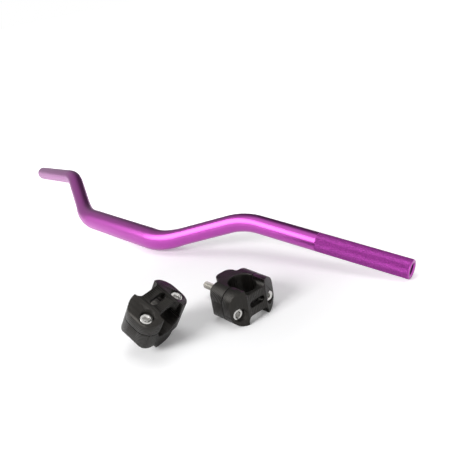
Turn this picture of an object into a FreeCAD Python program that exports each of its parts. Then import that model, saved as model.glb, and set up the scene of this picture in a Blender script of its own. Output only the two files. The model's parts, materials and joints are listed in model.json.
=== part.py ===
import FreeCAD, Part
import math
import os

os.makedirs("parts", exist_ok=True)

Vector = FreeCAD.Vector

# A tapered motorbike handlebar lying on a flat surface, with its two bar clamps beside it.
# Lengths are millimetres, angles degrees. X runs along the bar, Y from the bar's middle
# towards its swept-back ends, Z is up and the surface is Z = 0.

# Handlebar tube
clamp_zone_diameter = 28.6
grip_diameter = 22.2
clamp_zone_bore_diameter = 20.6
bend_bore_diameter = 16.6
grip_bore_diameter = 13.8
bore_taper_length = 30.0
inner_corner_x = 92.2
outer_corner_x = 199.4
outer_corner_y = 51.6
outer_corner_z = 45.0
grip_end_x = 399.2
grip_end_y = 92.5
grip_end_z = 10.95
inner_bend_radius = 88.0
outer_bend_radius = 88.0
taper_length = 56.0
tube_outer_chamfer = 0.8
tube_bore_chamfer = 1.4

# Clamp body, in its own frame: x along the bar, y along the line of the two bolts,
# z out of the cap, with the origin on the bar axis in the middle of the cap's waist
split_gap = 1.0
bolt_to_bore_wall = 2.45
counterbore_wall = 2.0
body_back_reach = 20.5
body_front_reach = 18.0
body_corner_radius = 14.5
bore_rim_chamfer = 0.6
cap_crown_wall = 5.0
shoulder_width = 17.0
shoulder_angle = 25.0
waist_width = 24.0
scallop_side_width = 16.5
scallop_radius = 5.0
slot_to_counterbore_wall = 4.0
slot_width = 7.2
riser_bottom_wall = 6.2
block_corner_radius = 6.0
foot_height = 11.5
foot_length = 23.0
foot_corner_radius = 8.0
foot_neck_radius = 3.0

# Fasteners: two low-head socket bolts and one stud in each clamp
bolt_plane_x = -6.5
bolt_diameter = 8.0
bolt_length = 20.0
bolt_head_diameter = 13.0
bolt_head_height = 5.0
bolt_head_chamfer = 0.6
bolt_hex_size = 6.0
bolt_hex_depth = 3.0
bolt_seat_z = 7.8
bolt_hole_clearance = 0.25
counterbore_clearance = 0.5
thread_clearance = 0.03
bolt_tip_room = 3.0
stud_tip_chamfer = 0.8
stud_diameter = 8.0
stud_runout_diameter = 6.6
stud_runout_above = 1.0
stud_runout_below = 1.0
stud_hole_tip_room = 0.2
right_stud_length = 40.0
right_stud_free_length = 32.0
left_stud_length = 23.0
left_stud_free_length = 7.0

# Places of the two clamps on the surface
right_clamp_x = 292.6
right_clamp_y = -49.8
right_clamp_heading = -2.5
left_clamp_x = 257.5
left_clamp_y = -136.4
left_clamp_heading = 8.75

# Sizes that follow from the ones above
outer_corner = Vector(outer_corner_x, outer_corner_y, outer_corner_z)
grip_end = Vector(grip_end_x, grip_end_y, grip_end_z)
clamp_zone_radius = clamp_zone_diameter / 2
grip_radius = grip_diameter / 2
bore_radius = clamp_zone_radius
counterbore_radius = bolt_head_diameter / 2 + counterbore_clearance
bolt_hole_radius = bolt_diameter / 2 + bolt_hole_clearance
thread_hole_radius = bolt_diameter / 2 + thread_clearance
bolt_spacing = clamp_zone_diameter + 2 * (bolt_hole_radius + bolt_to_bore_wall)
body_length = bolt_spacing + 2 * (counterbore_radius + counterbore_wall)
body_width = body_back_reach + body_front_reach
crown_height = bore_radius + cap_crown_wall
crown_length = body_length - 2 * shoulder_width
scallop_length = body_length - 2 * scallop_side_width
slot_length = bolt_spacing - 2 * (counterbore_radius + slot_to_counterbore_wall)
block_drop = bore_radius + riser_bottom_wall
foot_drop = block_drop + foot_height
stud_hole_depth = stud_hole_tip_room + max(right_stud_length - right_stud_free_length,
                                           left_stud_length - left_stud_free_length)


def unit(vector):
    result = Vector(vector)
    result.normalize()
    return result


class Bend:
    """The arc that joins two straight runs of the tube at a corner."""

    def __init__(self, before, corner, after, radius):
        self.start_direction = unit(corner - before)
        self.end_direction = unit(after - corner)
        self.turn = self.start_direction.getAngle(self.end_direction)
        tangent_length = radius * math.tan(self.turn / 2)
        self.start = corner - self.start_direction * tangent_length
        self.end = corner + self.end_direction * tangent_length
        towards_centre = unit(self.end_direction - self.start_direction)
        self.centre = corner + towards_centre * (radius / math.cos(self.turn / 2))
        self.middle = self.centre - towards_centre * radius
        self.axis = unit(self.start_direction.cross(self.end_direction))
        self.length = radius * self.turn


def round_wire(centre, direction, radius):
    return Part.Wire([Part.Circle(centre, direction, radius).toShape()])


def straight_tube(start, end, radius):
    direction = end - start
    return Part.makeCylinder(radius, direction.Length, start, direction)


def tapered_tube(start, end, start_radius, end_radius):
    direction = end - start
    return Part.makeCone(start_radius, end_radius, direction.Length, start, direction)


def bent_tube(bend, radius):
    section = Part.Face(round_wire(bend.start, bend.start_direction, radius))
    return section.revolve(bend.centre, bend.axis, math.degrees(bend.turn))


def tapered_bend(bend, start_radius, end_radius):
    spine = Part.Wire([Part.Arc(bend.start, bend.middle, bend.end).toShape()])
    pipe = Part.BRepOffsetAPI.MakePipeShell(spine)
    pipe.setFrenetMode(True)
    pipe.add(round_wire(bend.start, bend.start_direction, start_radius))
    pipe.add(round_wire(bend.end, bend.end_direction, end_radius))
    pipe.build()
    pipe.makeSolid()
    return pipe.shape()


def bar_bends():
    """The inner and outer bend of the half of the bar that lies towards +X."""
    middle = Vector(0, 0, clamp_zone_radius)
    inner_corner = Vector(inner_corner_x, 0, clamp_zone_radius)
    inner_bend = Bend(middle, inner_corner, outer_corner, inner_bend_radius)
    outer_bend = Bend(inner_corner, outer_corner, grip_end, outer_bend_radius)
    return inner_bend, outer_bend


def outside_rod():
    """One half of the bar's outside, which narrows from the clamp zone to the grip."""
    inner_bend, outer_bend = bar_bends()
    radius_lost = clamp_zone_radius - grip_radius
    bend_end_radius = clamp_zone_radius - radius_lost * inner_bend.length / taper_length
    taper_end = inner_bend.end + inner_bend.end_direction * (taper_length - inner_bend.length)
    middle = Vector(0, 0, clamp_zone_radius)
    rod = straight_tube(middle, inner_bend.start, clamp_zone_radius)
    return rod.fuse([
        tapered_bend(inner_bend, clamp_zone_radius, bend_end_radius),
        tapered_tube(inner_bend.end, taper_end, bend_end_radius, grip_radius),
        straight_tube(taper_end, outer_bend.start, grip_radius),
        bent_tube(outer_bend, grip_radius),
        straight_tube(outer_bend.end, grip_end, grip_radius),
    ])


def inside_rod():
    """One half of the bar's bore, which narrows on both sides of the inner bend."""
    inner_bend, outer_bend = bar_bends()
    clamp_bore_radius = clamp_zone_bore_diameter / 2
    bend_bore_radius = bend_bore_diameter / 2
    grip_bore_radius = grip_bore_diameter / 2
    middle = Vector(0, 0, clamp_zone_radius)
    first_taper = inner_bend.start - inner_bend.start_direction * bore_taper_length
    second_taper = inner_bend.end + inner_bend.end_direction * bore_taper_length
    past_end = grip_end + outer_bend.end_direction
    rod = straight_tube(middle, first_taper, clamp_bore_radius)
    return rod.fuse([
        tapered_tube(first_taper, inner_bend.start, clamp_bore_radius, bend_bore_radius),
        bent_tube(inner_bend, bend_bore_radius),
        tapered_tube(inner_bend.end, second_taper, bend_bore_radius, grip_bore_radius),
        straight_tube(second_taper, outer_bend.start, grip_bore_radius),
        bent_tube(outer_bend, grip_bore_radius),
        straight_tube(outer_bend.end, past_end, grip_bore_radius),
    ])


def mirrored_rod(half):
    return half.fuse(half.mirror(Vector(0, 0, 0), Vector(1, 0, 0))).removeSplitter()


def end_rims(tube, radius):
    """The round edges of a given radius at the two open ends of the tube."""
    return [edge for edge in tube.Edges
            if abs(edge.CenterOfMass.x) > grip_end.x - 0.5
            and isinstance(edge.Curve, Part.Circle)
            and abs(edge.Curve.Radius - radius) < 0.01]


def handlebar():
    tube = mirrored_rod(outside_rod()).cut(mirrored_rod(inside_rod()))
    tube = tube.makeChamfer(tube_outer_chamfer, end_rims(tube, grip_radius))
    return tube.makeChamfer(tube_bore_chamfer, end_rims(tube, grip_bore_diameter / 2))


def prism_along_x(outline, start_x, length):
    """A prism whose outline is given as (y, z) corners."""
    corners = [Vector(start_x, y, z) for y, z in outline]
    face = Part.Face(Part.makePolygon(corners + corners[:1]))
    return face.extrude(Vector(length, 0, 0))


def rounded_block(back_x, front_x, half_length, bottom_z, top_z, corner_radius):
    block = Part.makeBox(front_x - back_x, 2 * half_length, top_z - bottom_z,
                         Vector(back_x, -half_length, bottom_z))
    upright = [edge for edge in block.Edges
               if abs(edge.Vertexes[0].Z - edge.Vertexes[-1].Z) > 1e-6]
    return block.makeFillet(corner_radius, upright)


def edges_near(shape, test):
    """Edges whose middle point passes the test."""
    chosen = []
    for edge in shape.Edges:
        middle = edge.valueAt((edge.FirstParameter + edge.LastParameter) / 2)
        if test(middle):
            chosen.append(edge)
    return chosen


def bolt_points():
    return [Vector(bolt_plane_x, side * bolt_spacing / 2, 0) for side in (1, -1)]


def bore_cutter():
    start = Vector(-body_back_reach - 1, 0, 0)
    return Part.makeCylinder(bore_radius, body_width + 2, start, Vector(1, 0, 0))


def rim_cutter(face_x, outward):
    """A cone that breaks the edge of the bar bore at an end face."""
    start = Vector(face_x - outward * bore_rim_chamfer, 0, 0)
    return Part.makeCone(bore_radius, bore_radius + 2 * bore_rim_chamfer,
                         2 * bore_rim_chamfer, start, Vector(outward, 0, 0))


def cap_outline():
    half_crown = crown_length / 2
    half_body = body_length / 2
    fall = math.tan(math.radians(shoulder_angle))
    side_top = crown_height - fall * (half_body - half_crown)
    bottom = split_gap / 2
    return [(-half_body, bottom), (half_body, bottom), (half_body, side_top),
            (half_crown, crown_height), (-half_crown, crown_height), (-half_body, side_top)]


def scallop_cutter(inner_x, outer_x):
    low = min(inner_x, outer_x)
    high = max(inner_x, outer_x)
    block = Part.makeBox(high - low, scallop_length, crown_height + 2,
                         Vector(low, -scallop_length / 2, -1))
    inner = [edge for edge in block.Edges
             if abs(edge.CenterOfMass.x - inner_x) < 1e-6
             and abs(abs(edge.CenterOfMass.y) - scallop_length / 2) < 1e-6]
    return block.makeFillet(scallop_radius, inner)


def slot_cutter():
    half_straight = (slot_length - slot_width) / 2
    height = crown_height + 1
    middle = Part.makeBox(slot_width, 2 * half_straight, height,
                          Vector(-slot_width / 2, -half_straight, 0))
    ends = [Part.makeCylinder(slot_width / 2, height, Vector(0, side * half_straight, 0))
            for side in (1, -1)]
    return middle.fuse(ends)


def clamp_cap():
    plan = rounded_block(-body_back_reach, body_front_reach, body_length / 2,
                         0, crown_height, body_corner_radius)
    profile = prism_along_x(cap_outline(), -body_back_reach, body_width)
    cap = plan.common(profile)
    half_waist = waist_width / 2
    cutters = [bore_cutter(), slot_cutter(),
               scallop_cutter(half_waist, body_front_reach + 1),
               scallop_cutter(-half_waist, -body_back_reach - 1),
               rim_cutter(half_waist, 1), rim_cutter(-half_waist, -1)]
    for point in bolt_points():
        seat = Vector(point.x, point.y, bolt_seat_z)
        cutters.append(Part.makeCylinder(bolt_hole_radius, crown_height, point))
        cutters.append(Part.makeCylinder(counterbore_radius, crown_height, seat))
    return cap.cut(cutters).removeSplitter()


def riser_profile():
    """The side view of the riser, a block with a foot below it, as a prism along x."""
    half_body = body_length / 2
    half_foot = foot_length / 2
    outline = [(-half_body, -split_gap / 2), (-half_body, -block_drop),
               (-half_foot, -block_drop), (-half_foot, -foot_drop),
               (half_foot, -foot_drop), (half_foot, -block_drop),
               (half_body, -block_drop), (half_body, -split_gap / 2)]
    prism = prism_along_x(outline, -body_back_reach, body_width)
    rounded = ((half_body, -block_drop, block_corner_radius),
               (half_foot, -block_drop, foot_neck_radius),
               (half_foot, -foot_drop, foot_corner_radius))
    for y, z, radius in rounded:
        corner = edges_near(prism, lambda point: abs(point.x) < body_width / 4
                            and abs(abs(point.y) - y) < 0.01 and abs(point.z - z) < 0.01)
        prism = prism.makeFillet(radius, corner)
    return prism


def clamp_riser():
    plan = rounded_block(-body_back_reach, body_front_reach, body_length / 2,
                         -foot_drop - 1, -split_gap / 2, body_corner_radius)
    riser = plan.common(riser_profile())
    cutters = [bore_cutter(), rim_cutter(body_front_reach, 1),
               rim_cutter(-body_back_reach, -1)]
    for point in bolt_points():
        hole_bottom = bolt_seat_z - bolt_length - bolt_tip_room
        start = Vector(point.x, point.y, hole_bottom)
        cutters.append(Part.makeCylinder(thread_hole_radius, -hole_bottom, start))
    stud_mouth = Vector(bolt_plane_x, 0, -foot_drop - 1)
    cutters.append(Part.makeCylinder(stud_diameter / 2, stud_hole_depth + 1, stud_mouth))
    return riser.cut(cutters)


def hex_prism(across_flats, height, base):
    corner_radius = across_flats / 2 / math.cos(math.radians(30))
    corners = []
    for number in range(6):
        angle = math.radians(60 * number)
        corners.append(base + Vector(corner_radius * math.cos(angle),
                                     corner_radius * math.sin(angle), 0))
    face = Part.Face(Part.makePolygon(corners + corners[:1]))
    return face.extrude(Vector(0, 0, height))


def clamp_bolt(point):
    seat = Vector(point.x, point.y, bolt_seat_z)
    head = Part.makeCylinder(bolt_head_diameter / 2, bolt_head_height, seat)
    top_z = bolt_seat_z + bolt_head_height
    head = head.makeChamfer(bolt_head_chamfer,
                            edges_near(head, lambda middle: middle.z > top_z - 0.01))
    tip = seat - Vector(0, 0, bolt_length)
    shank = Part.makeCylinder(bolt_diameter / 2, bolt_length, tip)
    socket = hex_prism(bolt_hex_size, bolt_hex_depth + 1,
                       Vector(point.x, point.y, top_z - bolt_hex_depth))
    return head.fuse(shank).removeSplitter().cut(socket)


def clamp_stud(length, free_length):
    """A stud whose thread ends in a narrower neck where it leaves the riser's foot."""
    tip = Vector(bolt_plane_x, 0, -foot_drop - free_length)
    neck_bottom = -foot_drop - stud_runout_below
    neck_top = -foot_drop + stud_runout_above
    lower = Part.makeCylinder(stud_diameter / 2, neck_bottom - tip.z, tip)
    lower = lower.makeChamfer(stud_tip_chamfer,
                              edges_near(lower, lambda middle: middle.z < tip.z + 0.01))
    neck = Part.makeCylinder(stud_runout_diameter / 2, neck_top - neck_bottom,
                             Vector(bolt_plane_x, 0, neck_bottom))
    upper = Part.makeCylinder(stud_diameter / 2, tip.z + length - neck_top,
                              Vector(bolt_plane_x, 0, neck_top))
    return lower.fuse([neck, upper]).removeSplitter()


def standing_placement():
    """The right clamp stands on its back end face, with the cap turned along X."""
    heading = math.radians(right_clamp_heading)
    z_axis = Vector(math.cos(heading), math.sin(heading), 0)
    x_axis = Vector(0, 0, 1)
    origin = Vector(right_clamp_x, right_clamp_y, body_back_reach)
    return placed_frame(origin, x_axis, z_axis)


def leaning_placement():
    """The left clamp leans on the lower back edge of its foot and the tip of its stud."""
    tip_back = stud_diameter / 2 - stud_tip_chamfer - bolt_plane_x
    tip_low = foot_drop + left_stud_free_length
    tilt = math.atan2(left_stud_free_length, body_back_reach - tip_back)
    heading = math.radians(left_clamp_heading)
    level = Vector(math.cos(heading), math.sin(heading), 0)
    up = Vector(0, 0, 1)
    x_axis = up * math.sin(tilt) - level * math.cos(tilt)
    z_axis = level * math.sin(tilt) + up * math.cos(tilt)
    height = tip_back * math.sin(tilt) + tip_low * math.cos(tilt)
    return placed_frame(Vector(left_clamp_x, left_clamp_y, height), x_axis, z_axis)


def placed_frame(origin, x_axis, z_axis):
    y_axis = z_axis.cross(x_axis)
    matrix = FreeCAD.Matrix(x_axis.x, y_axis.x, z_axis.x, origin.x,
                            x_axis.y, y_axis.y, z_axis.y, origin.y,
                            x_axis.z, y_axis.z, z_axis.z, origin.z,
                            0, 0, 0, 1)
    return FreeCAD.Placement(matrix)


def save(name, shape):
    if not shape.isValid() or len(shape.Solids) != 1:
        raise RuntimeError(name + " is not one valid solid")
    shape.Solids[0].exportStep("parts/" + name + ".step")
    box = shape.optimalBoundingBox()
    print(name, "volume", round(shape.Volume, 1), "lowest", round(box.ZMin, 3))


def main():
    near_point, far_point = bolt_points()
    shared = {"cap": clamp_cap(), "riser": clamp_riser(),
              "bolt_near": clamp_bolt(near_point), "bolt_far": clamp_bolt(far_point)}
    right_stud = clamp_stud(right_stud_length, right_stud_free_length)
    left_stud = clamp_stud(left_stud_length, left_stud_free_length)
    clamps = (("right", standing_placement(), right_stud),
              ("left", leaning_placement(), left_stud))
    shapes = {"handlebar": handlebar()}
    for side, placement, stud in clamps:
        for piece, shape in {**shared, "stud": stud}.items():
            placed = shape.copy()
            placed.Placement = placement.multiply(shape.Placement)
            shapes[side + "_" + piece] = placed
    # The origin lies on the surface, in the middle of the space the whole set takes up
    box = Part.makeCompound(list(shapes.values())).optimalBoundingBox()
    to_middle = Vector(-(box.XMin + box.XMax) / 2, -(box.YMin + box.YMax) / 2, 0)
    print("shifted by", to_middle)
    for name, shape in shapes.items():
        shape.translate(to_middle)
        save(name, shape)


main()
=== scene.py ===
import json
import math
import bpy
from mathutils import Matrix, Vector


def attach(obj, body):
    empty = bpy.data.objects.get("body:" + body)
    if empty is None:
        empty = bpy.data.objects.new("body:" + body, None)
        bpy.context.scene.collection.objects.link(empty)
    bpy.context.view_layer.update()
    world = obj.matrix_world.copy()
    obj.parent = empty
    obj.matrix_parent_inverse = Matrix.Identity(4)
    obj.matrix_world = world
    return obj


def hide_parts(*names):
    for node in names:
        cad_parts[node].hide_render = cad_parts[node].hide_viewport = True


mm = 0.001

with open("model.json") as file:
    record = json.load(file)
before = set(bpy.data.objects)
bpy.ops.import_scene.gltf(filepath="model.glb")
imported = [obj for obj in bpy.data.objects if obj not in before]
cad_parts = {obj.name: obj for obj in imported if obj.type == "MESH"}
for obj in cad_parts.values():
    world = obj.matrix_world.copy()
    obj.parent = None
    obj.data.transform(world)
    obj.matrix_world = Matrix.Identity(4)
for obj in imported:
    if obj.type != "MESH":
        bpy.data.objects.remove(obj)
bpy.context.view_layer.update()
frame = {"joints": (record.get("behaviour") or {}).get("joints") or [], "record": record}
print("frame loaded")


def mountPlace(name):
    return next(Vector(mount["pos_m"]) for mount in frame["record"]["mounts"] if mount["name"] == name)


barMiddle = mountPlace("bar_clamp_zone")

# Camera

camera = {
    "place": (0.710507, -0.410591, 0.337541),
    "right": (0.6874, 0.7089, -0.1581),
    "up": (-0.1860, 0.3821, 0.9052),
    "back": (0.7021, -0.5928, 0.3945),
    "lens": 49.35,
    "sensor": 36.0,
}


def addCamera():
    # the camera's place is measured from the bar's middle along Y
    place = Vector(camera["place"]) + Vector((0, barMiddle.y, 0))
    bpy.ops.object.camera_add(location=place)
    cameraObject = bpy.context.object
    axes = Matrix((camera["right"], camera["up"], camera["back"])).transposed()
    cameraObject.rotation_euler = axes.to_euler()
    cameraObject.data.lens = camera["lens"]
    cameraObject.data.sensor_width = camera["sensor"]
    cameraObject.data.clip_start = 0.01
    cameraObject.data.clip_end = 50
    bpy.context.scene.camera = cameraObject


addCamera()
print("camera placed")

# Shared modelling steps


def deselectAll():
    if bpy.context.mode != "OBJECT":
        bpy.ops.object.mode_set(mode="OBJECT")
    bpy.ops.object.select_all(action="DESELECT")


def makeActive(piece):
    deselectAll()
    piece.select_set(True)
    bpy.context.view_layer.objects.active = piece


def applyPlace(piece):
    makeActive(piece)
    bpy.ops.object.transform_apply(location=True, rotation=True, scale=True)
    return piece


def addBox(low, high):
    deselectAll()
    middle = [(a + b) / 2 * mm for a, b in zip(low, high)]
    size = [(b - a) * mm for a, b in zip(low, high)]
    bpy.ops.mesh.primitive_cube_add(size=1, location=middle, scale=size)
    return applyPlace(bpy.context.object)


def addRod(radius, start, end, along="Z", sides=96, place=(0, 0)):
    deselectAll()
    turn = {"X": (0, math.pi / 2, 0), "Y": (-math.pi / 2, 0, 0), "Z": (0, 0, 0)}[along]
    middle = (start + end) / 2 * mm
    first, second = place[0] * mm, place[1] * mm
    where = {"X": (middle, first, second), "Y": (first, middle, second), "Z": (first, second, middle)}[along]
    bpy.ops.mesh.primitive_cylinder_add(
        vertices=sides, radius=radius * mm, depth=(end - start) * mm, location=where, rotation=turn)
    return applyPlace(bpy.context.object)


def selectEdges(piece, test):
    makeActive(piece)
    bpy.ops.object.mode_set(mode="EDIT")
    bpy.ops.mesh.select_mode(type="EDGE")
    bpy.ops.mesh.select_all(action="DESELECT")
    bpy.ops.object.mode_set(mode="OBJECT")
    points = [vertex.co / mm for vertex in piece.data.vertices]
    for edge in piece.data.edges:
        a, b = (points[index] for index in edge.vertices)
        edge.select = bool(test(a, b))
    bpy.ops.object.mode_set(mode="EDIT")


def roundEdges(piece, radius, steps, test):
    selectEdges(piece, test)
    bpy.ops.mesh.bevel(offset=radius * mm, offset_type="OFFSET", segments=steps, profile=0.5, affect="EDGES")
    bpy.ops.object.mode_set(mode="OBJECT")


def combine(piece, tool, how):
    makeActive(piece)
    modifier = piece.modifiers.new("combine", "BOOLEAN")
    modifier.operation = how
    modifier.solver = "EXACT"
    modifier.object = tool
    bpy.ops.object.modifier_apply(modifier=modifier.name)
    bpy.data.objects.remove(tool)


def breakEdges(piece, width, steps=2, angle=30):
    makeActive(piece)
    bpy.ops.object.mode_set(mode="EDIT")
    bpy.ops.mesh.select_all(action="SELECT")
    bpy.ops.mesh.remove_doubles(threshold=0.01 * mm)
    bpy.ops.mesh.dissolve_limited(angle_limit=math.radians(0.5))
    bpy.ops.object.mode_set(mode="OBJECT")
    modifier = piece.modifiers.new("edges", "BEVEL")
    modifier.width = width * mm
    modifier.segments = steps
    modifier.limit_method = "ANGLE"
    modifier.angle_limit = math.radians(angle)
    modifier.miter_outer = "MITER_ARC"
    modifier.use_clamp_overlap = True
    modifier.harden_normals = True
    bpy.ops.object.modifier_apply(modifier=modifier.name)


def smooth(piece, angle=30):
    makeActive(piece)
    bpy.ops.object.shade_smooth_by_angle(angle=math.radians(angle))


def outward(piece):
    makeActive(piece)
    bpy.ops.object.mode_set(mode="EDIT")
    bpy.ops.mesh.select_all(action="SELECT")
    bpy.ops.mesh.normals_make_consistent(inside=False)
    bpy.ops.object.mode_set(mode="OBJECT")


def joinPieces(pieces):
    deselectAll()
    for piece in pieces:
        piece.select_set(True)
    bpy.context.view_layer.objects.active = pieces[0]
    bpy.ops.object.join()
    return pieces[0]


def copyPiece(piece, name):
    copied = piece.copy()
    copied.data = piece.data.copy()
    copied.name = name
    bpy.context.scene.collection.objects.link(copied)
    return copied


def turnedProfile(name, points, sides=96, along="X"):
    # points are (distance along the axis, radius), a closed loop or one that starts and ends on the axis
    deselectAll()
    mesh = bpy.data.meshes.new(name)
    place = (lambda a, r: (a * mm, 0, r * mm)) if along == "X" else (lambda a, r: (r * mm, 0, a * mm))
    edges = [(index, index + 1) for index in range(len(points) - 1)]
    if points[0][1] > 0:
        edges.append((len(points) - 1, 0))
    mesh.from_pydata([place(a, r) for a, r in points], edges, [])
    piece = bpy.data.objects.new(name, mesh)
    bpy.context.scene.collection.objects.link(piece)
    makeActive(piece)
    bpy.ops.object.mode_set(mode="EDIT")
    bpy.ops.mesh.select_all(action="SELECT")
    axis = (1, 0, 0) if along == "X" else (0, 0, 1)
    bpy.ops.mesh.spin(steps=sides, angle=2 * math.pi, center=(0, 0, 0), axis=axis)
    bpy.ops.mesh.select_all(action="SELECT")
    bpy.ops.mesh.remove_doubles(threshold=0.001 * mm)
    bpy.ops.mesh.normals_make_consistent(inside=False)
    bpy.ops.object.mode_set(mode="OBJECT")
    return piece


def spread(start, end, count):
    return [start + (end - start) * index / count for index in range(count + 1)]


# Handlebar

bar = {
    "middleRadius": 14.3,
    "gripRadius": 11.1,
    "innerCorner": (92.2, 0, 14.3),
    "outerCorner": (199.4, 51.6, 45.0),
    "gripEnd": (399.2, 92.5, 10.95),
    "bendRadius": 88.0,
    "taperLength": 56.0,
    "boreRadii": (10.3, 8.3, 6.9),
    "boreTaper": 30.0,
    "outerChamfer": 0.8,
    "boreChamfer": 1.4,
    "knurlLength": 108.5,
    "knurlPitch": 1.6,
    "knurlDepth": 0.34,
    "knurlRelief": 0.1,
    "knurlEdge": 0.4,
    "knurlStep": 0.3,
    "knurlGaps": (0.2, 0.1),
    "runBeforeKnurl": 30.0,
    "knurlMaskDepth": 2.0,
    "endHandle": 10.0,
    "sides": 128,
}


def barCourse():
    # distances along the bar from its middle: start and end of both bends, and the end of the grip
    corners = [Vector((0, 0, bar["middleRadius"]))]
    corners += [Vector(bar[key]) for key in ("innerCorner", "outerCorner", "gripEnd")]
    runs = [(b - a).normalized() for a, b in zip(corners, corners[1:])]
    turns = [a.angle(b) for a, b in zip(runs, runs[1:])]
    cuts = [bar["bendRadius"] * math.tan(turn / 2) for turn in turns]
    arcs = [bar["bendRadius"] * turn for turn in turns]
    lengths = [(b - a).length for a, b in zip(corners, corners[1:])]
    innerStart = lengths[0] - cuts[0]
    innerEnd = innerStart + arcs[0]
    outerStart = innerEnd + lengths[1] - cuts[0] - cuts[1]
    outerEnd = outerStart + arcs[1]
    end = outerEnd + lengths[2] - cuts[1]
    return corners, runs, turns, cuts, (innerStart, innerEnd, outerStart, outerEnd, end)


def barPath():
    # the bar's centre line from the smooth end to the knurled end, with a curve point at each end of a bend
    corners, runs, turns, cuts, _ = barCourse()
    half = []
    for index in (0, 1):
        corner = corners[index + 1]
        handle = 4 / 3 * math.tan(turns[index] / 4) * bar["bendRadius"]
        start = corner - runs[index] * cuts[index]
        end = corner + runs[index + 1] * cuts[index]
        half.append((start, runs[index], None, handle))
        half.append((end, runs[index + 1], handle, None))
    half.append((corners[3], runs[2], None, None))
    middleY = Vector((0, barMiddle.y / mm, 0))
    mirrored = [(Vector((-place.x, place.y, place.z)), Vector((run.x, -run.y, -run.z)), after, before)
                for place, run, before, after in reversed(half)]
    allPoints = mirrored + half
    deselectAll()
    bpy.ops.curve.primitive_bezier_curve_add()
    path = bpy.context.object
    path.location = (0, 0, 0)
    spline = path.data.splines[0]
    spline.bezier_points.add(len(allPoints) - len(spline.bezier_points))
    for index, (place, run, before, after) in enumerate(allPoints):
        point = spline.bezier_points[index]
        point.handle_left_type = point.handle_right_type = "FREE"
        centre = place + middleY
        point.co = centre * mm
        point.handle_left = (centre - run * (before or bar["endHandle"])) * mm
        point.handle_right = (centre + run * (after or bar["endHandle"])) * mm
    path.data.dimensions = "3D"
    path.data.resolution_u = 96
    path.data.twist_mode = "MINIMUM"
    path.data.use_path = True
    return path


def makeBar():
    innerStart, innerEnd, outerStart, outerEnd, end = barCourse()[-1]
    first, middle, last = bar["boreRadii"]
    knurlStart = end - bar["knurlLength"]

    def outsideRadius(s):
        share = min(max((s - innerStart) / bar["taperLength"], 0), 1)
        return bar["middleRadius"] + (bar["gripRadius"] - bar["middleRadius"]) * share

    def insideRadius(s):
        if s < innerStart:
            share = min(max((s - innerStart + bar["boreTaper"]) / bar["boreTaper"], 0), 1)
            return first + (middle - first) * share
        share = min(max((s - innerEnd) / bar["boreTaper"], 0), 1)
        return middle + (last - middle) * share

    bends = spread(innerStart, innerEnd, 20) + spread(outerStart, outerEnd, 18)
    marks = [0, innerStart + bar["taperLength"], knurlStart - bar["runBeforeKnurl"]]
    outsideMarks = sorted(set(bends + marks))
    insideMarks = sorted(set(bends + [0, innerStart - bar["boreTaper"], innerEnd + bar["boreTaper"]]))
    grip, chamfer, hole = bar["gripRadius"], bar["outerChamfer"], bar["boreChamfer"]
    root = grip - bar["knurlDepth"] - bar["knurlRelief"]
    knurlEnd = end - chamfer - bar["knurlEdge"]
    outside = [(-s, outsideRadius(s)) for s in reversed(outsideMarks)]
    outside += [(s, outsideRadius(s)) for s in outsideMarks if s > 0]
    inside = [(s, insideRadius(s)) for s in reversed(insideMarks)]
    inside += [(-s, insideRadius(s)) for s in insideMarks if s > 0]
    profile = [(-end, last + hole), (-end, grip - chamfer), (chamfer - end, grip)]
    profile += outside
    profile += [(knurlStart - bar["knurlStep"], grip), (knurlStart, root), (knurlEnd, root),
                (knurlEnd, grip), (end - chamfer, grip), (end, grip - chamfer), (end, last + hole)]
    profile += [(end - hole, last)] + inside + [(hole - end, last)]
    tube = turnedProfile("handlebarTube", profile, bar["sides"])
    knurl = makeKnurl(knurlStart + bar["knurlGaps"][0], knurlEnd - bar["knurlGaps"][1])
    tube = joinPieces([tube, knurl])
    tube.location.x = end * mm
    applyPlace(tube)
    path = barPath()
    makeActive(tube)
    modifier = tube.modifiers.new("bends", "CURVE")
    modifier.object = path
    modifier.deform_axis = "POS_X"
    bpy.ops.object.modifier_apply(modifier=modifier.name)
    bpy.data.objects.remove(path)
    smooth(tube, 25)
    return tube


def ringPoint(distance, radius, angle):
    return (distance * mm, radius * mm * math.sin(angle), radius * mm * math.cos(angle))


def makeKnurl(start, end):
    # one ring of four-sided points, repeated along the grip with every other ring turned by half a point
    radius = bar["gripRadius"]
    root = radius - bar["knurlDepth"]
    count = round(2 * math.pi * radius / bar["knurlPitch"])
    rows = int((end - start) / bar["knurlPitch"] * 2)
    step = (end - start) / (rows + 1)
    turn = 2 * math.pi / count
    vertices = []
    faces = []
    for row in range(rows + 2):
        for index in range(count):
            angle = (index + 0.5 * (row % 2)) * turn
            vertices.append(ringPoint(start + row * step, root, angle))
    base = len(vertices)
    for row in range(1, rows + 1):
        for index in range(count):
            angle = (index + 0.5 * ((row + 1) % 2)) * turn
            tip = len(vertices)
            vertices.append(ringPoint(start + row * step, radius, angle))
            before = (index - 1) % count if row % 2 else index
            after = index if row % 2 else (index + 1) % count
            sideA, sideB = row * count + before, row * count + after
            below, above = (row - 1) * count + index, (row + 1) * count + index
            faces += [(below, sideB, tip), (sideB, above, tip), (above, sideA, tip), (sideA, below, tip)]
    mesh = bpy.data.meshes.new("knurl")
    mesh.from_pydata(vertices, [], faces)
    knurl = bpy.data.objects.new("knurl", mesh)
    bpy.context.scene.collection.objects.link(knurl)
    outward(knurl)
    return knurl


handlebarTube = makeBar()
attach(handlebarTube, "bar_and_risers")
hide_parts("handlebar")
print("handlebar made")

# Clamps, modelled once in their own frame: X along the bar's bore, Y along the two bolts, Z out of the cap

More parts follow.
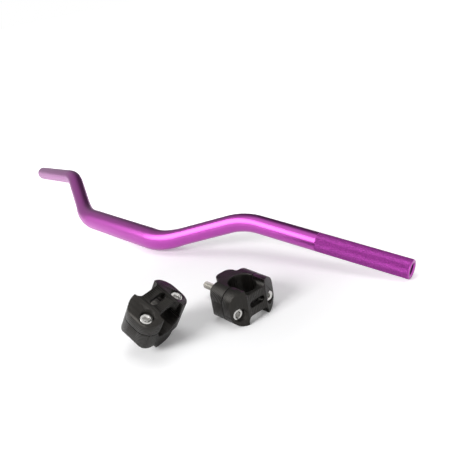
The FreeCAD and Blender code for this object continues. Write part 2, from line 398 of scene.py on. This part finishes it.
clamp = {
    "back": -20.5,
    "front": 18.0,
    "halfLength": 30.0,
    "cornerRadius": 14.5,
    "boreRadius": 14.3,
    "split": 0.5,
    "crownHeight": 19.3,
    "halfCrown": 13.0,
    "shoulderAngle": 25.0,
    "halfWaist": 12.0,
    "halfScallop": 13.5,
    "scallopRadius": 5.0,
    "slotLength": 20.0,
    "slotWidth": 7.2,
    "rimBreak": 0.6,
    "blockDrop": 20.5,
    "blockRadius": 6.0,
    "footDrop": 32.0,
    "halfFoot": 11.5,
    "footRadius": 8.0,
    "neckRadius": 3.0,
    "edge": 0.35,
    "cutReach": 25.0,
    "lineGap": 2.2,
    "lineDepth": 0.10,
}
bolt = {
    "planeX": -6.5,
    "offsetY": 21.0,
    "radius": 4.0,
    "pitch": 1.25,
    "length": 20.0,
    "headRadius": 6.5,
    "headHeight": 5.0,
    "seat": 7.8,
    "keySize": 6.0,
    "keyDepth": 3.0,
    "socketRim": 4.1,
    "socketSink": 0.55,
    "sinkRadius": 3.46,
    "headRound": 0.3,
    "topRound": (0.8, 0.7),
    "topStep": 0.2,
    "holeRadius": 4.25,
    "threadHoleRadius": 4.03,
    "counterboreRadius": 7.0,
    "tipChamfer": 0.8,
}
thread = {
    "slicesPerTurn": 10,
    "depthPerPitch": 0.61,
    "flankSlope": 1.35,
    "crestFlat": 0.1,
}
stud = {
    "neckRadius": 3.3,
    "neckHalfWidth": 1.0,
    "lengths": {"right": 40.0, "left": 23.0},
    "reaches": {"right": 64.0, "left": 39.0},
}


def planPrism(low, high):
    prism = addBox((clamp["back"], -clamp["halfLength"], low), (clamp["front"], clamp["halfLength"], high))
    roundEdges(prism, clamp["cornerRadius"], 20, lambda a, b: abs(a.z - b.z) > 1)
    return prism


def cutRod(piece, radius, start, end, along="Z", sides=96, place=(0, 0)):
    combine(piece, addRod(radius, start, end, along, sides, place), "DIFFERENCE")


def cutRim(piece, face, outwards):
    # a short cone that breaks the sharp edge of the bar's bore
    deselectAll()
    size = clamp["rimBreak"]
    bpy.ops.mesh.primitive_cone_add(
        vertices=128, radius1=(clamp["boreRadius"] - size) * mm,
        radius2=(clamp["boreRadius"] + 2 * size) * mm, depth=3 * size * mm,
        location=((face + outwards * -0.5 * size) * mm, 0, 0), rotation=(0, outwards * math.pi / 2, 0))
    combine(piece, applyPlace(bpy.context.object), "DIFFERENCE")


def makeSlot():
    # a round rod whose two halves are pulled apart
    slot = addRod(clamp["slotWidth"] / 2, 5, clamp["cutReach"], "Z", 48)
    halfStraight = (clamp["slotLength"] - clamp["slotWidth"]) / 2 * mm
    for side in (1, -1):
        selectEdges(slot, lambda a, b: min(side * a.y, side * b.y) > -0.001)
        bpy.ops.transform.translate(value=(0, side * halfStraight, 0))
        bpy.ops.object.mode_set(mode="OBJECT")
    return slot


def makeCap():
    cap = planPrism(clamp["split"], clamp["crownHeight"])
    makeActive(cap)
    fall = math.radians(clamp["shoulderAngle"])
    bpy.ops.object.mode_set(mode="EDIT")
    for side in (1, -1):
        bpy.ops.mesh.select_all(action="SELECT")
        bpy.ops.mesh.bisect(
            plane_co=(0, side * clamp["halfCrown"] * mm, clamp["crownHeight"] * mm),
            plane_no=(0, side * math.sin(fall), math.cos(fall)), use_fill=True, clear_outer=True)
    bpy.ops.object.mode_set(mode="OBJECT")
    waist, scallop, reach = clamp["halfWaist"], clamp["halfScallop"], clamp["cutReach"]
    for side in (1, -1):
        ends = sorted((side * waist, side * reach))
        pocket = addBox((ends[0], -scallop, -2), (ends[1], scallop, reach - 1))
        roundEdges(pocket, clamp["scallopRadius"], 8,
                   lambda a, b: abs(a.z - b.z) > 1 and abs(a.x - side * waist) < 0.1)
        combine(cap, pocket, "DIFFERENCE")
    cutRod(cap, clamp["boreRadius"], -reach, reach, "X", 128)
    for side in (1, -1):
        cutRim(cap, side * waist, side)
    combine(cap, makeSlot(), "DIFFERENCE")
    for side in (1, -1):
        place = (bolt["planeX"], side * bolt["offsetY"])
        cutRod(cap, bolt["counterboreRadius"], bolt["seat"], reach, "Z", 64, place)
        cutRod(cap, bolt["holeRadius"], -2, 12, "Z", 48, place)
    breakEdges(cap, clamp["edge"])
    smooth(cap)
    return cap


def makeRiser():
    back, front, half = clamp["back"], clamp["front"], clamp["halfLength"]
    drop, foot = clamp["blockDrop"], clamp["halfFoot"]
    riser = addBox((back - 1, -half, -drop), (front + 1, half, -clamp["split"]))
    roundEdges(riser, clamp["blockRadius"], 10,
               lambda a, b: abs(a.x - b.x) > 1 and a.z < -drop + 0.1)
    lobe = addBox((back - 1, -foot, -clamp["footDrop"]), (front + 1, foot, -drop + 2))
    roundEdges(lobe, clamp["footRadius"], 14,
               lambda a, b: abs(a.x - b.x) > 1 and a.z < -clamp["footDrop"] + 0.1)
    combine(riser, lobe, "UNION")
    roundEdges(riser, clamp["neckRadius"], 8,
               lambda a, b: abs(a.x - b.x) > 1 and abs(a.z + drop) < 0.1 and abs(abs(a.y) - foot) < 0.1)
    combine(riser, planPrism(-clamp["footDrop"] - 2, 2), "INTERSECT")
    cutRod(riser, clamp["boreRadius"], -clamp["cutReach"], clamp["cutReach"], "X", 128)
    for face, side in ((front, 1), (back, -1)):
        cutRim(riser, face, side)
    for side in (1, -1):
        cutRod(riser, bolt["threadHoleRadius"], bolt["seat"] - bolt["length"] - 3, 5, "Z", 48,
               (bolt["planeX"], side * bolt["offsetY"]))
    breakEdges(riser, clamp["edge"])
    smooth(riser)
    return riser


def threadedRod(name, radius, pitch, low, high, chamferLow, chamferHigh, sides=48):
    # a plain rod in thin slices, whose surface then winds in and out as a thread
    count = int((high - low) / pitch * thread["slicesPerTurn"])
    points = [(low, 0)] + [(z, radius) for z in spread(low, high, count)] + [(high, 0)]
    rod = turnedProfile(name, points, sides, "Z")
    depth = thread["depthPerPitch"] * pitch
    for vertex in rod.data.vertices:
        z = vertex.co.z / mm
        reach = math.hypot(vertex.co.x, vertex.co.y) / mm
        if reach < radius / 2:
            continue
        phase = (z / pitch - math.atan2(vertex.co.y, vertex.co.x) / (2 * math.pi)) % 1
        share = abs(2 * phase - 1) * thread["flankSlope"] - thread["crestFlat"]
        groove = depth * min(max(share, 0), 1)
        toEnd = min(z - low + radius - chamferLow, high - z + radius - chamferHigh)
        wanted = min(radius - groove, toEnd)
        vertex.co.x *= wanted / reach
        vertex.co.y *= wanted / reach
    smooth(rod, 35)
    return rod


def makeBolt(side):
    seat, height = bolt["seat"], bolt["headHeight"]
    top = seat + height
    head, key = bolt["headRadius"], bolt["keySize"] / 2
    floor = top - bolt["socketSink"]
    edge, (inwards, down) = bolt["headRound"], bolt["topRound"]
    points = [(seat, 0), (seat, head - edge), (seat + edge, head), (top - down, head),
              (top - bolt["topStep"], head - edge), (top, head - inwards), (top, bolt["socketRim"]),
              (floor, bolt["sinkRadius"]), (floor, 0)]
    made = turnedProfile("head", points, 64, "Z")
    deselectAll()
    bpy.ops.mesh.primitive_cylinder_add(vertices=6, radius=key / math.cos(math.pi / 6) * mm,
                                        depth=2 * bolt["keyDepth"] * mm, location=(0, 0, top * mm))
    socket = applyPlace(bpy.context.object)
    combine(made, socket, "DIFFERENCE")
    breakEdges(made, 0.12, 1, 35)
    smooth(made, 35)
    shank = threadedRod("shank", bolt["radius"], bolt["pitch"], seat - bolt["length"], seat + 0.2,
                        bolt["tipChamfer"], 0)
    made = joinPieces([made, shank])
    made.location = (bolt["planeX"] * mm, side * bolt["offsetY"] * mm, 0)
    return applyPlace(made)


def makeStud(length, reach):
    rod = threadedRod("stud", bolt["radius"], bolt["pitch"], -reach, length - reach,
                      bolt["tipChamfer"], 0.3)
    for vertex in rod.data.vertices:
        # the thread runs out into a narrower neck at the foot of the riser
        outside = math.hypot(vertex.co.x, vertex.co.y) / mm
        fromFoot = abs(vertex.co.z / mm + clamp["footDrop"])
        if outside > stud["neckRadius"] and fromFoot <= stud["neckHalfWidth"]:
            vertex.co.x *= stud["neckRadius"] / outside
            vertex.co.y *= stud["neckRadius"] / outside
    rod.location.x = bolt["planeX"] * mm
    return applyPlace(rod)


def markOwnFrame(piece, first, second):
    # the UV map keeps two distances in the clamp's own frame, in metres, for the finish to use: the clamp's
    # milling lines, and the painted shade in the bolts' key sockets
    layer = piece.data.uv_layers.new(name="ownFrame")
    for loop in piece.data.loops:
        place = piece.data.vertices[loop.vertex_index].co
        layer.data[loop.index].uv = (first(place), second(place))


def clampPlace(side):
    # read from the frame: the cap's slide gives Z, and the two bolts' axes give Y and the place
    joints = {joint["name"]: joint for joint in frame["joints"]}
    near = Vector(joints[side + "_bolt_near_turn"]["pos_m"])
    far = Vector(joints[side + "_bolt_far_turn"]["pos_m"])
    zAxis = Vector(joints[side + "_cap_lift"]["axis"]).normalized()
    yAxis = (near - far).normalized()
    xAxis = yAxis.cross(zAxis).normalized()
    middle = (near + far) / 2 - xAxis * bolt["planeX"] * mm
    place = Matrix((xAxis, yAxis, zAxis)).transposed().to_4x4()
    place.translation = middle
    return place


def seatPiece(piece, name, place, body, node):
    piece.name = name
    piece.data.transform(place)
    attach(piece, body)
    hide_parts(node)
    return piece


def makeClamps():
    pieces = {"cap": makeCap(), "riser": makeRiser(), "bolt_near": makeBolt(1), "bolt_far": makeBolt(-1)}
    for key in ("cap", "riser"):
        markOwnFrame(pieces[key], lambda place: place.x, lambda place: place.y + place.z)
    # the bolts keep their distance from their own axis, which places the painted shade in the key's socket
    for key, side in (("bolt_near", 1), ("bolt_far", -1)):
        axis = Vector((bolt["planeX"] * mm, side * bolt["offsetY"] * mm, 0))
        markOwnFrame(pieces[key], lambda place: (place - axis).to_2d().length, lambda place: place.z)
    print("clamp modelled")
    made = {}
    for side in ("right", "left"):
        place = clampPlace(side)
        for key, source in pieces.items():
            node = side + "_" + key
            body = "bar_and_risers" if key == "riser" else node
            name = side + key.title().replace("_", "")
            made[node] = seatPiece(copyPiece(source, node), name, place, body, node)
        node = side + "_stud"
        rod = makeStud(stud["lengths"][side], stud["reaches"][side])
        made[node] = seatPiece(rod, side + "Stud", place, "bar_and_risers", node)
    for source in pieces.values():
        bpy.data.objects.remove(source)
    return made


clampPieces = makeClamps()
print("clamps in place")

# Materials


finishes = {
    "barColour": (0.50, 0.065, 0.45, 1),
    "barRoughness": 0.29,
    "barCoat": 0.6,
    "barCoatRoughness": 0.28,
    # the knurl's colour is the bar's colour darkened, as painted shade among the knurl's points, and its
    # speckle lightens and darkens point by point, as painted glints and shade
    "knurlShadedColour": (0.36, 0.048, 0.33),
    "knurlGlintAndShade": (0.65, 1.20),
    "knurlGlintAndShadeSize": 0.6,
    "knurlDullness": 0.12,
    "knurlCoatLoss": 0.45,
    "clampColour": (0.0045, 0.0040, 0.0036, 1),
    "clampTint": (1.0, 0.95, 0.88, 1),
    "clampShine": 0.36,
    "clampRoughness": 0.33,
    "clampCoat": 0.06,
    "clampCoatRoughness": 0.30,
    "boltColour": (0.62, 0.61, 0.59, 1),
    "boltRoughness": 0.24,
    # painted shade inside the bolts' key sockets
    "socketShadeColour": (0.30, 0.30, 0.295, 1),
    "studColour": (0.60, 0.58, 0.54, 1),
    "studRoughness": 0.28,
}


def newMaterial(name):
    material = bpy.data.materials.new(name)
    material.use_nodes = True
    nodes = material.node_tree.nodes
    nodes.clear()
    output = nodes.new("ShaderNodeOutputMaterial")
    shader = nodes.new("ShaderNodeBsdfPrincipled")
    material.node_tree.links.new(shader.outputs["BSDF"], output.inputs["Surface"])
    return material, shader


def blastedGrainGroup():
    # the fine even grain of a blasted and anodised surface
    group = bpy.data.node_groups.new("blastedGrain", "ShaderNodeTree")
    group.interface.new_socket("Size", in_out="INPUT", socket_type="NodeSocketFloat")
    group.interface.new_socket("Roughness", in_out="INPUT", socket_type="NodeSocketFloat")
    group.interface.new_socket("Variation", in_out="INPUT", socket_type="NodeSocketFloat")
    group.interface.new_socket("Roughness", in_out="OUTPUT", socket_type="NodeSocketFloat")
    group.interface.new_socket("Height", in_out="OUTPUT", socket_type="NodeSocketFloat")
    nodes, links = group.nodes, group.links
    given = nodes.new("NodeGroupInput")
    result = nodes.new("NodeGroupOutput")
    place = nodes.new("ShaderNodeTexCoord")
    grain = nodes.new("ShaderNodeTexNoise")
    grain.inputs["Detail"].default_value = 3
    cloud = nodes.new("ShaderNodeTexNoise")
    cloud.inputs["Scale"].default_value = 45
    cloud.inputs["Detail"].default_value = 4
    vary = nodes.new("ShaderNodeMath")
    vary.operation = "SUBTRACT"
    vary.inputs[1].default_value = 0.5
    scaled = nodes.new("ShaderNodeMath")
    scaled.operation = "MULTIPLY_ADD"
    links.new(place.outputs["Object"], grain.inputs["Vector"])
    links.new(place.outputs["Object"], cloud.inputs["Vector"])
    links.new(given.outputs["Size"], grain.inputs["Scale"])
    links.new(cloud.outputs["Fac"], vary.inputs[0])
    links.new(vary.outputs[0], scaled.inputs[0])
    links.new(given.outputs["Variation"], scaled.inputs[1])
    links.new(given.outputs["Roughness"], scaled.inputs[2])
    links.new(scaled.outputs[0], result.inputs["Roughness"])
    links.new(grain.outputs["Fac"], result.inputs["Height"])
    return group


grainGroup = blastedGrainGroup()


def addGrain(material, shader, size, roughness, variation, height):
    nodes, links = material.node_tree.nodes, material.node_tree.links
    grain = nodes.new("ShaderNodeGroup")
    grain.node_tree = grainGroup
    grain.inputs["Size"].default_value = size
    grain.inputs["Roughness"].default_value = roughness
    grain.inputs["Variation"].default_value = variation
    bump = nodes.new("ShaderNodeBump")
    bump.inputs["Strength"].default_value = height
    bump.inputs["Distance"].default_value = 0.02 * mm
    links.new(grain.outputs["Roughness"], shader.inputs["Roughness"])
    links.new(grain.outputs["Height"], bump.inputs["Height"])
    links.new(bump.outputs["Normal"], shader.inputs["Normal"])
    return grain, bump


def knurlMask(nodes, links, place):
    # 1 on the knurled outside of the grip, where the painted shade and glints go, and 0 on the end, in the
    # bore and on the rest of the bar
    run = (Vector(bar["gripEnd"]) - Vector(bar["outerCorner"])).normalized()
    gripEnd = Vector(bar["gripEnd"]) * mm + Vector((0, barMiddle.y, 0))
    edge = (bar["outerChamfer"] + bar["knurlEdge"]) * mm
    length = bar["knurlLength"] * mm
    fromEnd = nodes.new("ShaderNodeVectorMath")
    fromEnd.operation = "SUBTRACT"
    fromEnd.inputs[1].default_value = gripEnd
    along = nodes.new("ShaderNodeVectorMath")
    along.operation = "DOT_PRODUCT"
    along.inputs[1].default_value = run
    inLength = nodes.new("ShaderNodeMath")
    inLength.operation = "COMPARE"
    inLength.inputs[1].default_value = -(length + edge) / 2
    inLength.inputs[2].default_value = (length - edge) / 2
    across = nodes.new("ShaderNodeVectorMath")
    across.operation = "CROSS_PRODUCT"
    across.inputs[1].default_value = run
    radius = nodes.new("ShaderNodeVectorMath")
    radius.operation = "LENGTH"
    outside = nodes.new("ShaderNodeMath")
    outside.operation = "GREATER_THAN"
    outside.inputs[1].default_value = (bar["gripRadius"] - bar["knurlMaskDepth"]) * mm
    knurled = nodes.new("ShaderNodeMath")
    knurled.operation = "MULTIPLY"
    links.new(place.outputs["Object"], fromEnd.inputs[0])
    links.new(fromEnd.outputs[0], along.inputs[0])
    links.new(fromEnd.outputs[0], across.inputs[0])
    links.new(across.outputs[0], radius.inputs[0])
    links.new(radius.outputs["Value"], outside.inputs[0])
    links.new(along.outputs["Value"], inLength.inputs[0])
    links.new(inLength.outputs[0], knurled.inputs[0])
    links.new(outside.outputs[0], knurled.inputs[1])
    return knurled.outputs[0]


def barMaterial():
    material, shader = newMaterial("barAnodised")
    shader.inputs["Metallic"].default_value = 1.0
    shader.inputs["Coat Roughness"].default_value = finishes["barCoatRoughness"]
    grain, _ = addGrain(material, shader, 2500, finishes["barRoughness"], 0.05, 0.25)
    # the knurled length is duller and has a thinner coat; its colour is painted darker, as shade among its
    # points, and a speckle of painted glints and shade stands in for the light its points scatter
    nodes, links = material.node_tree.nodes, material.node_tree.links
    place = nodes.new("ShaderNodeTexCoord")
    knurled = knurlMask(nodes, links, place)
    colour = nodes.new("ShaderNodeMix")
    colour.data_type = "RGBA"
    colour.inputs["A"].default_value = finishes["barColour"]
    points = nodes.new("ShaderNodeTexVoronoi")
    points.inputs["Scale"].default_value = 1 / (finishes["knurlGlintAndShadeSize"] * bar["knurlPitch"] * mm)
    glintAndShade = nodes.new("ShaderNodeMapRange")
    glintAndShade.inputs["To Min"].default_value, glintAndShade.inputs["To Max"].default_value = finishes["knurlGlintAndShade"]
    knurlShadedColour = nodes.new("ShaderNodeVectorMath")
    knurlShadedColour.operation = "SCALE"
    knurlShadedColour.inputs[0].default_value = finishes["knurlShadedColour"]
    links.new(place.outputs["Object"], points.inputs["Vector"])
    links.new(points.outputs["Color"], glintAndShade.inputs["Value"])
    links.new(glintAndShade.outputs["Result"], knurlShadedColour.inputs["Scale"])
    links.new(knurlShadedColour.outputs[0], colour.inputs["B"])
    dullness = nodes.new("ShaderNodeMath")
    dullness.operation = "MULTIPLY_ADD"
    dullness.inputs[1].default_value = finishes["knurlDullness"]
    coat = nodes.new("ShaderNodeMath")
    coat.operation = "MULTIPLY_ADD"
    coat.inputs[1].default_value = -finishes["knurlCoatLoss"]
    coat.inputs[2].default_value = finishes["barCoat"]
    links.new(knurled, colour.inputs["Factor"])
    links.new(colour.outputs["Result"], shader.inputs["Base Color"])
    links.new(knurled, dullness.inputs[0])
    links.new(grain.outputs["Roughness"], dullness.inputs[2])
    links.new(dullness.outputs[0], shader.inputs["Roughness"])
    links.new(knurled, coat.inputs[0])
    links.new(coat.outputs[0], shader.inputs["Coat Weight"])
    return material


def clampMaterial():
    material, shader = newMaterial("clampAnodised")
    shader.inputs["Base Color"].default_value = finishes["clampColour"]
    shader.inputs["Specular IOR Level"].default_value = finishes["clampShine"]
    shader.inputs["Specular Tint"].default_value = finishes["clampTint"]
    shader.inputs["Coat Weight"].default_value = finishes["clampCoat"]
    shader.inputs["Coat Roughness"].default_value = finishes["clampCoatRoughness"]
    _, grainBump = addGrain(material, shader, 3000, finishes["clampRoughness"], 0.08, 0.5)
    # fine parallel lines that the milling cutter left along the direction of the bar's bore
    nodes, links = material.node_tree.nodes, material.node_tree.links
    ownFrame = nodes.new("ShaderNodeUVMap")
    ownFrame.uv_map = "ownFrame"
    axes = nodes.new("ShaderNodeSeparateXYZ")
    phase = nodes.new("ShaderNodeMath")
    phase.operation = "MULTIPLY"
    phase.inputs[1].default_value = 2 * math.pi / (clamp["lineGap"] * mm)
    wave = nodes.new("ShaderNodeMath")
    wave.operation = "SINE"
    lines = nodes.new("ShaderNodeBump")
    lines.inputs["Strength"].default_value = 1.0
    lines.inputs["Distance"].default_value = clamp["lineDepth"] * mm
    links.new(ownFrame.outputs["UV"], axes.inputs[0])
    links.new(axes.outputs["Y"], phase.inputs[0])
    links.new(phase.outputs[0], wave.inputs[0])
    links.new(wave.outputs[0], lines.inputs["Height"])
    links.new(lines.outputs["Normal"], grainBump.inputs["Normal"])
    return material


def steelMaterial(name, colour, roughness):
    material, shader = newMaterial(name)
    shader.inputs["Base Color"].default_value = colour
    shader.inputs["Metallic"].default_value = 1.0
    addGrain(material, shader, 2000, roughness, 0.1, 0.2)
    return material, shader


def boltMaterial():
    # as the plain steel, with painted shade inside the key's socket
    material, shader = steelMaterial("boltSteel", finishes["boltColour"], finishes["boltRoughness"])
    nodes, links = material.node_tree.nodes, material.node_tree.links
    ownFrame = nodes.new("ShaderNodeUVMap")
    ownFrame.uv_map = "ownFrame"
    axes = nodes.new("ShaderNodeSeparateXYZ")
    # inside the socket's width the steel takes the painted shade, outside it keeps its own colour
    outside = nodes.new("ShaderNodeMath")
    outside.operation = "GREATER_THAN"
    outside.inputs[1].default_value = (bolt["keySize"] / 2 + 0.15) * mm
    colour = nodes.new("ShaderNodeMix")
    colour.data_type = "RGBA"
    colour.inputs["A"].default_value = finishes["socketShadeColour"]
    colour.inputs["B"].default_value = finishes["boltColour"]
    links.new(ownFrame.outputs["UV"], axes.inputs[0])
    links.new(axes.outputs["X"], outside.inputs[0])
    links.new(outside.outputs[0], colour.inputs["Factor"])
    links.new(colour.outputs["Result"], shader.inputs["Base Color"])
    return material


def giveMaterial(piece, material):
    piece.data.materials.clear()
    piece.data.materials.append(material)


giveMaterial(handlebarTube, barMaterial())
clampFinish = clampMaterial()
boltFinish = boltMaterial()
studFinish, _ = steelMaterial("studSteel", finishes["studColour"], finishes["studRoughness"])
for node, piece in clampPieces.items():
    finish = boltFinish if "bolt" in node else studFinish if "stud" in node else clampFinish
    giveMaterial(piece, finish)
print("finishes given")

# Studio

studio = {
    "floorSize": 12.0,
    "floorColour": (0.86, 0.86, 0.865, 1),
    "floorLift": 0.12,
    "shadeMiddle": (0.24, -0.03, 0),
    "whiteFrom": 0.10,
    "whiteAt": 0.36,
    "mirroredWhite": 0.35,
    "shinePlace": (-0.22, -0.80, 0.77),
    "shineTarget": (0.15, 0.05, 0.02),
    "shineSize": (1.15, 0.80),
    "shinePower": 11.5,
    "frontPlace": (0.26, -1.0, 0.72),
    "frontTarget": (0.24, -0.02, 0.0),
    "frontSize": (0.5, 0.4),
    "frontPower": 11.0,
    "topPlace": (0.2, 0.05, 1.6),
    "topTarget": (0.2, 0.02, 0.0),
    "topSize": (0.75, 0.75),
    "topPower": 5.5,
    "screenRadius": 1.4,
    "screenTurns": (75, 200),
    "screenTop": 70,
    "screenStrengths": (0.42, 0.08),
    "screenShade": (0.3, 0.9),
    "worldStrength": 0.40,
}


def addFloor():
    deselectAll()
    bpy.ops.mesh.primitive_plane_add(size=studio["floorSize"], location=(0, 0, 0))
    floor = bpy.context.object
    floor.name = "studioFloor"
    material, shader = newMaterial("floorPaper")
    nodes, links = material.node_tree.nodes, material.node_tree.links
    shader.inputs["Base Color"].default_value = studio["floorColour"]
    shader.inputs["Roughness"].default_value = 0.9
    shader.inputs["Specular IOR Level"].default_value = 0.0
    # the floor keeps the shadows near the clamps and turns to white away from them
    light = nodes.new("ShaderNodeLightPath")
    place = nodes.new("ShaderNodeTexCoord")
    away = nodes.new("ShaderNodeVectorMath")
    away.operation = "DISTANCE"
    away.inputs[1].default_value = studio["shadeMiddle"]
    brightness = nodes.new("ShaderNodeMapRange")
    brightness.interpolation_type = "SMOOTHSTEP"
    brightness.inputs["From Min"].default_value = studio["whiteFrom"]
    brightness.inputs["From Max"].default_value = studio["whiteAt"]
    brightness.inputs["To Min"].default_value = studio["floorLift"]
    brightness.inputs["To Max"].default_value = 1.0
    seen = nodes.new("ShaderNodeMath")
    seen.operation = "MULTIPLY_ADD"
    seen.inputs[1].default_value = studio["mirroredWhite"]
    lift = nodes.new("ShaderNodeMath")
    lift.operation = "MULTIPLY"
    links.new(place.outputs["Object"], away.inputs[0])
    links.new(away.outputs["Value"], brightness.inputs["Value"])
    links.new(light.outputs["Is Glossy Ray"], seen.inputs[0])
    links.new(light.outputs["Is Camera Ray"], seen.inputs[2])
    links.new(seen.outputs[0], lift.inputs[0])
    links.new(brightness.outputs["Result"], lift.inputs[1])
    shader.inputs["Emission Color"].default_value = (1, 1, 1, 1)
    links.new(lift.outputs[0], shader.inputs["Emission Strength"])
    giveMaterial(floor, material)


def lampTurn(place, target):
    return (Vector(target) - Vector(place)).to_track_quat("-Z", "Y").to_euler()


def addLamp(name, place, target, size, power):
    deselectAll()
    bpy.ops.object.light_add(type="AREA", location=place, rotation=lampTurn(place, target))
    lamp = bpy.context.object
    lamp.name = name
    lamp.data.shape = "RECTANGLE"
    lamp.data.size, lamp.data.size_y = size
    lamp.data.energy = power
    lamp.visible_camera = False
    return lamp


def addScreen():
    # a curved dark screen behind the set, which only the glossy metal sees, gives the bar its dark upper edge
    deselectAll()
    bpy.ops.mesh.primitive_uv_sphere_add(segments=90, ring_count=46, radius=studio["screenRadius"])
    screen = bpy.context.object
    screen.name = "darkScreen"
    first, last = studio["screenTurns"]
    bpy.ops.object.mode_set(mode="EDIT")
    bpy.ops.mesh.select_mode(type="FACE")
    bpy.ops.mesh.select_all(action="DESELECT")
    bpy.ops.object.mode_set(mode="OBJECT")
    for face in screen.data.polygons:
        turn = math.degrees(math.atan2(face.center.y, face.center.x)) % 360
        height = math.degrees(math.asin(face.center.z / face.center.length))
        face.select = not (first < turn < last and -4 < height < studio["screenTop"])
    bpy.ops.object.mode_set(mode="EDIT")
    bpy.ops.mesh.delete(type="FACE")
    bpy.ops.object.mode_set(mode="OBJECT")
    material, shader = newMaterial("screenCloth")
    shader.inputs["Base Color"].default_value = (0, 0, 0, 1)
    shader.inputs["Specular IOR Level"].default_value = 0.0
    shader.inputs["Emission Color"].default_value = (1, 1, 1, 1)
    # the cloth is darkest behind the knurled half of the bar and paler towards the other end
    nodes, links = material.node_tree.nodes, material.node_tree.links
    place = nodes.new("ShaderNodeTexCoord")
    axes = nodes.new("ShaderNodeSeparateXYZ")
    shade = nodes.new("ShaderNodeMapRange")
    shade.inputs["From Min"].default_value, shade.inputs["From Max"].default_value = studio["screenShade"]
    shade.inputs["To Min"].default_value, shade.inputs["To Max"].default_value = studio["screenStrengths"]
    links.new(place.outputs["Object"], axes.inputs[0])
    links.new(axes.outputs["Y"], shade.inputs["Value"])
    links.new(shade.outputs["Result"], shader.inputs["Emission Strength"])
    giveMaterial(screen, material)
    screen.visible_camera = False
    screen.visible_diffuse = False
    screen.visible_transmission = False
    screen.visible_shadow = False


def addWorld():
    world = bpy.data.worlds.new("studioWorld")
    bpy.context.scene.world = world
    world.use_nodes = True
    nodes, links = world.node_tree.nodes, world.node_tree.links
    nodes.clear()
    output = nodes.new("ShaderNodeOutputWorld")
    background = nodes.new("ShaderNodeBackground")
    light = nodes.new("ShaderNodeLightPath")
    seen = nodes.new("ShaderNodeMath")
    seen.operation = "MAXIMUM"
    strength = nodes.new("ShaderNodeMapRange")
    strength.inputs["To Min"].default_value = studio["worldStrength"]
    strength.inputs["To Max"].default_value = 1.0
    background.inputs["Color"].default_value = (1, 1, 1, 1)
    links.new(light.outputs["Is Camera Ray"], seen.inputs[0])
    links.new(light.outputs["Is Glossy Ray"], seen.inputs[1])
    links.new(seen.outputs[0], strength.inputs["Value"])
    links.new(strength.outputs["Result"], background.inputs["Strength"])
    links.new(background.outputs[0], output.inputs["Surface"])


addFloor()
# the shine lamp is only mirrored by the metal, and the other two light the set and give the shadows
for key in ("shine", "front", "top"):
    lamp = addLamp(key + "Lamp", *(studio[key + part] for part in ("Place", "Target", "Size", "Power")))
    lamp.visible_diffuse = key != "shine"
    lamp.visible_glossy = key == "shine"
addScreen()
addWorld()
bpy.context.scene.view_settings.view_transform = "Standard"
print("studio lit")
